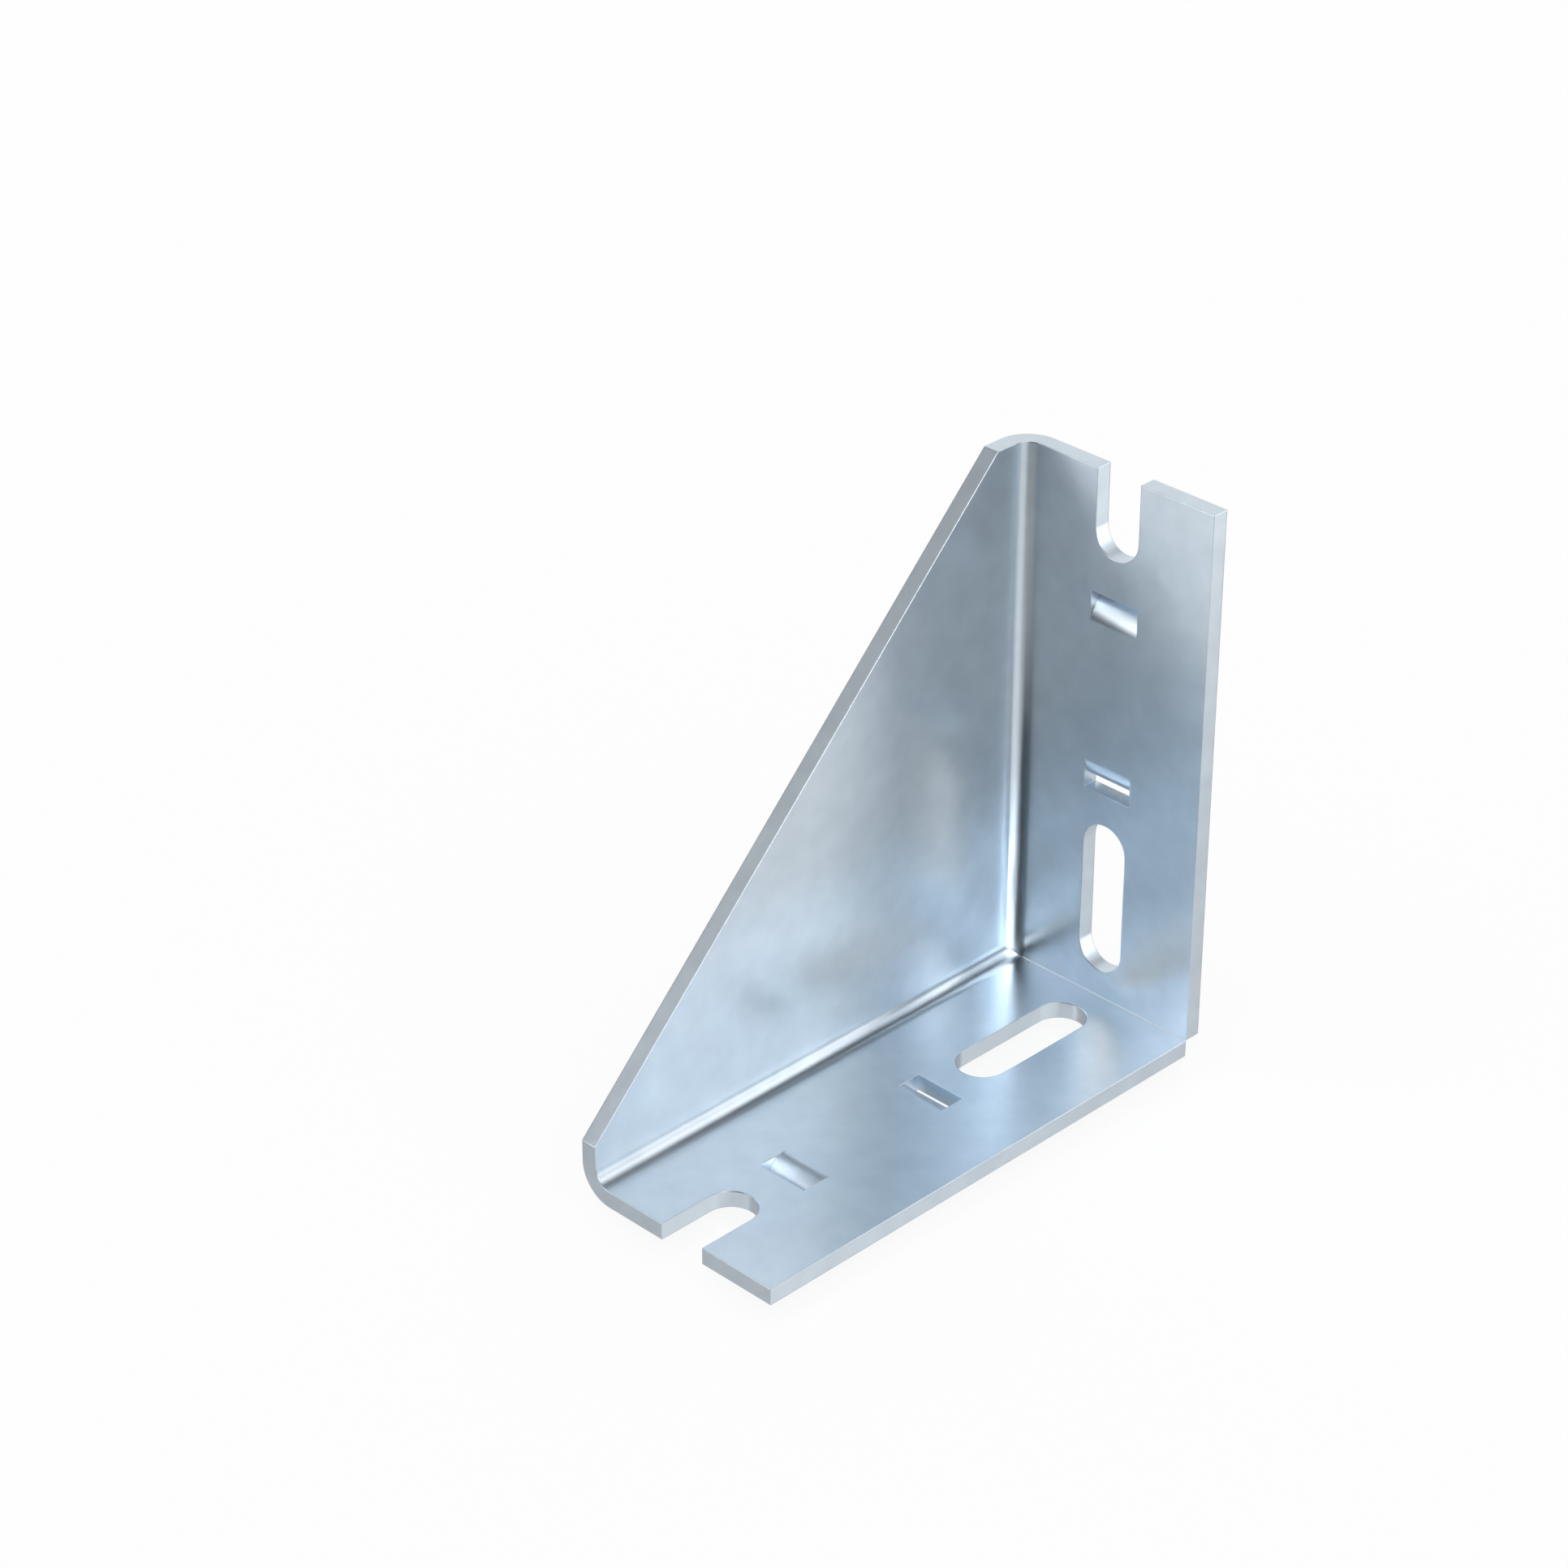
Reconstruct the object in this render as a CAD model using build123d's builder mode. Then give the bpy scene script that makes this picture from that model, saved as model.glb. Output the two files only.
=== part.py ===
from build123d import *
from math import pi
import os

# Strut angle fitting folded from one steel sheet: a three-cornered web with a flange turned up along each
# of its two legs, the slots for the bolts, and four lanced lugs that drop into the mouth of the strut.
#
# The base flange lies on the plane z = 0 and the upright flange on the plane x = 0. The origin is the corner
# where these two seating planes meet, on the line of the slots. The web is on the -Y side. The whole fitting
# is the same on both sides of the diagonal plane x = z, so the base half is made and then mirrored.
# All sizes are in millimetres.

# Sheet and folds
sheet = 3.0
bend_radius = 3.0

# Outline, measured from the outer faces
leg = 100.0
width = 42.0
web_end = 10.0

# Slots: the centre line from the web's outer face, and the centres along the leg from the corner
slot_line = 22.5
slot_width = 9.0
slot_start = 12.5
slot_finish = 31.5
end_slot_depth = 10.5

# Lanced lugs: width, inside radius of the fold, straight lip beyond the fold, the cut that the lancing tool
# leaves around a lug, and the bridges of metal from the lugs' windows to the closed and the open slot
lug_width = 9.7
lug_bend_radius = 1.5
lug_lip = 0.75
lance_cut = 0.05
near_bridge = 5.6
far_bridge = 7.0

# Slit left between the two flanges where they meet in the corner
corner_slit = 0.05

# Places worked out from the sizes above
web_face = -slot_line
free_edge = width - slot_line
bend_height = sheet + bend_radius
flange_start = sheet + corner_slit
slot_length = slot_finish - slot_start + slot_width
slot_middle = (slot_start + slot_finish) / 2
end_slot_centre = leg - end_slot_depth

# A lug is turned through a right angle, and the middle of the sheet keeps its length round the fold, so the
# window is as long as the fold and the lip laid flat
lug_outer_radius = lug_bend_radius + sheet
lug_fold_length = (lug_bend_radius + sheet / 2) * pi / 2
lug_reach = lug_bend_radius + lug_lip
window_length = lug_fold_length + lug_lip + lance_cut
window_width = lug_width + 2 * lance_cut
near_lug_fold = slot_finish + slot_width / 2 + near_bridge + window_length
far_lug_fold = end_slot_centre - slot_width / 2 - far_bridge - window_length

# The mitre between the two folds, seen along the flanges' width: the base half keeps what lies below it
mitre = Plane(origin=(0, 0, 0), x_dir=(0, 1, 0), z_dir=(-1, 0, 1))

with BuildPart() as fitting:
    # Base flange and its fold: the section of the bent sheet, drawn across the leg and run along it
    with BuildSketch(Plane.YZ.offset(flange_start)):
        with BuildLine():
            fold_outside = RadiusArc(
                (web_face, bend_height),
                (web_face + bend_height, 0),
                -bend_height,
            )
            fold_inside = RadiusArc(
                (web_face + sheet, bend_height),
                (web_face + bend_height, sheet),
                -bend_radius,
            )
            Line(fold_outside @ 0, fold_inside @ 0)
            Polyline(
                fold_outside @ 1,
                (free_edge, 0),
                (free_edge, sheet),
                fold_inside @ 1,
            )
        make_face()
    extrude(amount=leg - flange_start)
    split(bisect_by=mitre, keep=Keep.BOTTOM)

    # Closed slot near the corner and open slot at the free end, both for the same bolt
    with BuildSketch(Plane.XY):
        with Locations((slot_middle, 0)):
            SlotOverall(slot_length, slot_width)
        with Locations((end_slot_centre, 0)):
            Circle(slot_width / 2)
            Rectangle(end_slot_depth, slot_width, align=(Align.MIN, Align.CENTER))
    extrude(amount=sheet, mode=Mode.SUBTRACT)

    # Windows left by the lugs: the near one runs back from its fold, the far one runs on from its fold
    with BuildSketch(Plane.XY):
        with Locations((near_lug_fold, 0)):
            Rectangle(window_length, window_width, align=(Align.MAX, Align.CENTER))
        with Locations((far_lug_fold, 0)):
            Rectangle(window_length, window_width, align=(Align.MIN, Align.CENTER))
    extrude(amount=sheet, mode=Mode.SUBTRACT)

    # Lugs: the bent section is drawn along the leg, once for each way that a lug faces
    for fold, facing in ((near_lug_fold, -1), (far_lug_fold, 1)):
        with BuildSketch(Plane.XZ):
            with BuildLine():
                lug_top = RadiusArc(
                    (fold, sheet),
                    (fold + facing * lug_outer_radius, -lug_bend_radius),
                    facing * lug_outer_radius,
                )
                lug_under = RadiusArc(
                    (fold, 0),
                    (fold + facing * lug_bend_radius, -lug_bend_radius),
                    facing * lug_bend_radius,
                )
                Line(lug_top @ 0, lug_under @ 0)
                Polyline(
                    lug_top @ 1,
                    (fold + facing * lug_outer_radius, -lug_reach),
                    (fold + facing * lug_bend_radius, -lug_reach),
                    lug_under @ 1,
                )
            make_face()
        extrude(amount=lug_width / 2, both=True)

    # Upright flange, the same as the base flange across the mitre
    mirror(about=mitre)

    # Web between the two folds, its long edge running straight from one free end to the other
    with BuildSketch(Plane.XZ.offset(slot_line)):
        with BuildLine():
            Polyline(
                (bend_height, bend_height),
                (leg, bend_height),
                (leg, web_end),
                (web_end, leg),
                (bend_height, leg),
                close=True,
            )
        make_face()
    extrude(amount=-sheet)

fitting.part.label = "angle_fitting"

os.makedirs("parts", exist_ok=True)
export_step(fitting.part, "parts/angle_fitting.step")
print(f"lugs stand {lug_reach:.2f} mm out of the flanges, slots are {slot_length:.1f} mm long")
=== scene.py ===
from math import cos, radians, sin

import bpy
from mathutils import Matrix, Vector


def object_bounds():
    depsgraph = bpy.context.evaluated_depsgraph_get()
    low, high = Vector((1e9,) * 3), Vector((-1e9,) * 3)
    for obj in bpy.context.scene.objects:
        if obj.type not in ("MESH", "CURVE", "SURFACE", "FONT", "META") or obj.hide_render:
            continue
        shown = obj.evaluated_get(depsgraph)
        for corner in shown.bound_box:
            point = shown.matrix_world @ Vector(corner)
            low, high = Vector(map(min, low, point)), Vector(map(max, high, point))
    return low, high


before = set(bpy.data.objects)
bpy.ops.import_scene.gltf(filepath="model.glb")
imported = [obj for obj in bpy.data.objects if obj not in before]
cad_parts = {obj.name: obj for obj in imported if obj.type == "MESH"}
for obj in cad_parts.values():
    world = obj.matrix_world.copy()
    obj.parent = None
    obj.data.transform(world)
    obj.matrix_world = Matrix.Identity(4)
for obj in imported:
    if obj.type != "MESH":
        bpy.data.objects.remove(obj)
cad_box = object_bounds()

# Photograph's viewpoint, in metres in the fitting's own frame, and its lens on a 36 mm sensor
CAMERA_PLACE = Vector((0.481887, 0.404344, 0.406318))
CAMERA_AIM = Vector((0.052900, -0.024740, 0.054430))
CAMERA_LENS = 101.33
SENSOR_WIDTH = 36.0
CAMERA_NEAR = 0.01

# The fitting stands on the tips of the lugs under its base flange. The floor is white like the photograph's
# background, with a share of plain lit floor that keeps the fitting's shadow
FLOOR_HEIGHT = cad_box[0][2]
FLOOR_SIDE = 12.0
FLOOR_COLOUR = (0.9, 0.9, 0.9, 1.0)
FLOOR_WHITE_SHARE = 0.88
WHITE = (1.0, 1.0, 1.0, 1.0)
WORLD_BRIGHTNESS = 1.0

# Sheared edges are very slightly rounded: the shape itself by less than half the width of a narrow cut,
# and the way it catches the light by more
EDGE_BREAK = 0.00002
EDGE_SEGMENTS = 2
EDGE_ANGLE = radians(35.0)
EDGE_GLINT = 0.00022
GLINT_SAMPLES = 8

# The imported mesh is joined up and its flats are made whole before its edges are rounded
SAME_POINT = 0.000001
FLAT_ANGLE = radians(1.0)

# Zinc plate: a darker and a lighter tint lie in faint clouds over the sheet, with wider clouds of faint hues,
# and the sheet is faintly uneven. Clouds, hues and unevenness are noises, each given as scale and detail
ZINC_DARK = (0.624, 0.706, 0.781, 1.0)
ZINC_LIGHT = (0.791, 0.877, 0.952, 1.0)
ZINC_ROUGHNESS = (0.285, 0.315)
CLOUDS = (200.0, 4.0)
HUES = (60.0, 3.0)
HUE_SHARE = 0.05
UNEVEN = (250.0, 2.0)
UNEVEN_DEPTH = 0.00003

# Reflection cards of the studio, seen by the metal alone, also below the height of the floor: name, direction
# from and to in degrees from +X towards +Y, height from and to in degrees, distance in metres, brightness.
# The faces of a card are about CARD_STEP degrees wide and high
STUDIO_MIDDLE = Vector((0.05, 0.0, 0.05))
STUDIO_CARDS = (
    ("key", 47, 93, 18, 50, 4.0, 2.67),
    ("key_core", 60, 85, 24, 46, 3.9, 4.95),
    ("flag_right", 98, 127, 12, 50, 4.0, 0.24),
    ("strip_right", 127, 142, -24, 40, 4.0, 2.08),
    ("right", 142, 165, -24, 36, 4.0, 0.71),
    ("strip_left", 325, 340, -24, 50, 3.9, 3.06),
    ("flag_left", 255, 345, -12, 50, 4.0, 0.36),
    ("flag_front", -15, 47, -24, 50, 4.0, 0.0),
    ("flag_front_low", 47, 55, -24, 12, 4.0, 0.0),
    ("front_right", 55, 98, -24, 12, 4.0, 0.40),
    ("flag_high", 0, 360, 50, 70, 4.0, 0.08),
    ("top", 0, 360, 70, 90, 4.0, 0.60),
    ("under", 0, 360, -90, -50, 4.0, 0.60),
    ("low_front", -15, 52, -50, -36, 4.0, 1.10),
    ("low_front_far", -15, 52, -36, -24, 4.0, 0.57),
    ("low_right", 52, 97, -36, -24, 4.0, 1.10),
    ("low_right_far", 97, 142, -36, -24, 4.0, 0.78),
    ("low_right_near", 52, 97, -50, -36, 4.0, 0.55),
    ("low_right_side", 97, 142, -50, -36, 4.0, 1.02),
    ("low_back", 142, 345, -50, -36, 4.0, 0.62),
    ("low_back_far", 142, 330, -36, -24, 4.0, 0.41),
    ("flag_back", 165, 318, -24, -12, 4.0, 0.0),
    ("back", 165, 255, -12, 50, 4.0, 0.88),
)
CARD_STEP = 6.0


def link(thing):
    bpy.context.scene.collection.objects.link(thing)


def add_camera():
    data = bpy.data.cameras.new("camera")
    data.lens = CAMERA_LENS
    data.sensor_width = SENSOR_WIDTH
    data.clip_start = CAMERA_NEAR
    camera = bpy.data.objects.new("camera", data)
    camera.location = CAMERA_PLACE
    look = CAMERA_AIM - CAMERA_PLACE
    camera.rotation_euler = look.to_track_quat("-Z", "Y").to_euler()
    link(camera)
    bpy.context.scene.camera = camera


def add_noise(tree, place, scale, detail):
    noise = tree.nodes.new("ShaderNodeTexNoise")
    noise.inputs["Scale"].default_value = scale
    noise.inputs["Detail"].default_value = detail
    tree.links.new(place.outputs["Object"], noise.inputs["Vector"])
    return noise


def zinc_plate():
    material = bpy.data.materials.new("zinc_plate")
    material.use_nodes = True
    tree = material.node_tree
    nodes = tree.nodes
    links = tree.links
    shader = nodes["Principled BSDF"]
    shader.inputs["Metallic"].default_value = 1.0
    place = nodes.new("ShaderNodeTexCoord")

    clouds = add_noise(tree, place, *CLOUDS)
    tint = nodes.new("ShaderNodeMix")
    tint.data_type = "RGBA"
    tint.inputs["A"].default_value = ZINC_DARK
    tint.inputs["B"].default_value = ZINC_LIGHT
    links.new(clouds.outputs["Fac"], tint.inputs["Factor"])

    hues = add_noise(tree, place, *HUES)
    colour = nodes.new("ShaderNodeMix")
    colour.data_type = "RGBA"
    colour.blend_type = "OVERLAY"
    colour.inputs["Factor"].default_value = HUE_SHARE
    links.new(tint.outputs["Result"], colour.inputs["A"])
    links.new(hues.outputs["Color"], colour.inputs["B"])
    links.new(colour.outputs["Result"], shader.inputs["Base Color"])

    sheen = nodes.new("ShaderNodeMapRange")
    sheen.inputs["To Min"].default_value = ZINC_ROUGHNESS[0]
    sheen.inputs["To Max"].default_value = ZINC_ROUGHNESS[1]
    links.new(clouds.outputs["Fac"], sheen.inputs["Value"])
    links.new(sheen.outputs["Result"], shader.inputs["Roughness"])

    glints = nodes.new("ShaderNodeBevel")
    glints.samples = GLINT_SAMPLES
    glints.inputs["Radius"].default_value = EDGE_GLINT
    uneven = add_noise(tree, place, *UNEVEN)
    relief = nodes.new("ShaderNodeBump")
    relief.inputs["Distance"].default_value = UNEVEN_DEPTH
    links.new(uneven.outputs["Fac"], relief.inputs["Height"])
    links.new(glints.outputs["Normal"], relief.inputs["Normal"])
    links.new(relief.outputs["Normal"], shader.inputs["Normal"])
    return material


def dress_fitting():
    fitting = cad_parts["angle_fitting"]
    fitting.material_slots[0].material = zinc_plate()
    weld = fitting.modifiers.new("joined_points", "WELD")
    weld.merge_threshold = SAME_POINT
    flats = fitting.modifiers.new("whole_flats", "DECIMATE")
    flats.decimate_type = "DISSOLVE"
    flats.angle_limit = FLAT_ANGLE
    edges = fitting.modifiers.new("edge_break", "BEVEL")
    edges.width = EDGE_BREAK
    edges.segments = EDGE_SEGMENTS
    edges.limit_method = "ANGLE"
    edges.angle_limit = EDGE_ANGLE
    fitting.modifiers.new("smooth_folds", "WEIGHTED_NORMAL")


def floor_material():
    material = bpy.data.materials.new("floor")
    material.use_nodes = True
    nodes = material.node_tree.nodes
    links = material.node_tree.links
    lit = nodes["Principled BSDF"]
    lit.inputs["Base Color"].default_value = FLOOR_COLOUR
    lit.inputs["Roughness"].default_value = 1.0
    lit.inputs["Specular IOR Level"].default_value = 0.0
    white = nodes.new("ShaderNodeEmission")
    white.inputs["Color"].default_value = WHITE
    white.inputs["Strength"].default_value = 1.0

    ray = nodes.new("ShaderNodeLightPath")
    seen = ray.outputs["Is Camera Ray"]
    for kind in ("Is Glossy Ray", "Is Transmission Ray"):
        either = nodes.new("ShaderNodeMath")
        either.operation = "MAXIMUM"
        links.new(seen, either.inputs[0])
        links.new(ray.outputs[kind], either.inputs[1])
        seen = either.outputs["Value"]
    share = nodes.new("ShaderNodeMath")
    share.operation = "MULTIPLY"
    share.inputs[1].default_value = FLOOR_WHITE_SHARE
    links.new(seen, share.inputs[0])

    mix = nodes.new("ShaderNodeMixShader")
    links.new(share.outputs["Value"], mix.inputs["Fac"])
    links.new(lit.outputs["BSDF"], mix.inputs[1])
    links.new(white.outputs["Emission"], mix.inputs[2])
    links.new(mix.outputs["Shader"], nodes["Material Output"].inputs["Surface"])
    return material


def add_floor():
    half = FLOOR_SIDE / 2
    corners = [(-half, -half), (half, -half), (half, half), (-half, half)]
    mesh = bpy.data.meshes.new("floor")
    mesh.from_pydata([(x, y, FLOOR_HEIGHT) for x, y in corners], [], [(0, 1, 2, 3)])
    mesh.materials.append(floor_material())
    floor = bpy.data.objects.new("floor", mesh)
    # In the floor's place the metal mirrors the cards below it
    floor.visible_glossy = False
    link(floor)


def card_material(name, brightness):
    material = bpy.data.materials.new(name)
    material.use_nodes = True
    nodes = material.node_tree.nodes
    nodes.remove(nodes["Principled BSDF"])
    glow = nodes.new("ShaderNodeEmission")
    glow.inputs["Color"].default_value = WHITE
    glow.inputs["Strength"].default_value = brightness
    material.node_tree.links.new(glow.outputs["Emission"], nodes["Material Output"].inputs["Surface"])
    if brightness <= WORLD_BRIGHTNESS:
        # A dim card isn't worth rays of its own
        material.cycles.emission_sampling = "NONE"
    return material


def spread(first, last):
    steps = max(1, round((last - first) / CARD_STEP))
    return [radians(first + (last - first) * step / steps) for step in range(steps + 1)]


def add_card(name, direction_from, direction_to, height_from, height_to, distance, brightness):
    # A curved card on a sphere round the fitting, in small faces, that only reflections show
    directions = spread(direction_from, direction_to)
    heights = spread(height_from, height_to)
    columns = len(directions)
    points = []
    for height in heights:
        for direction in directions:
            outward = Vector((cos(height) * cos(direction), cos(height) * sin(direction), sin(height)))
            points.append(STUDIO_MIDDLE + distance * outward)
    faces = []
    for row in range(len(heights) - 1):
        for column in range(columns - 1):
            first = row * columns + column
            faces.append((first, first + 1, first + columns + 1, first + columns))
    mesh = bpy.data.meshes.new(name)
    mesh.from_pydata(points, [], faces)
    mesh.materials.append(card_material(name, brightness))
    card = bpy.data.objects.new(name, mesh)
    card.visible_camera = False
    card.visible_diffuse = False
    card.visible_shadow = False
    link(card)


def add_world():
    world = bpy.data.worlds.new("studio")
    bpy.context.scene.world = world
    world.use_nodes = True
    background = world.node_tree.nodes["Background"]
    background.inputs["Color"].default_value = WHITE
    background.inputs["Strength"].default_value = WORLD_BRIGHTNESS


bpy.context.scene.view_settings.view_transform = "Standard"
# Reflections of reflections stay as sharp as first ones
bpy.context.scene.cycles.blur_glossy = 0.0

add_camera()
dress_fitting()
add_floor()
add_world()
for card in STUDIO_CARDS:
    add_card(*card)
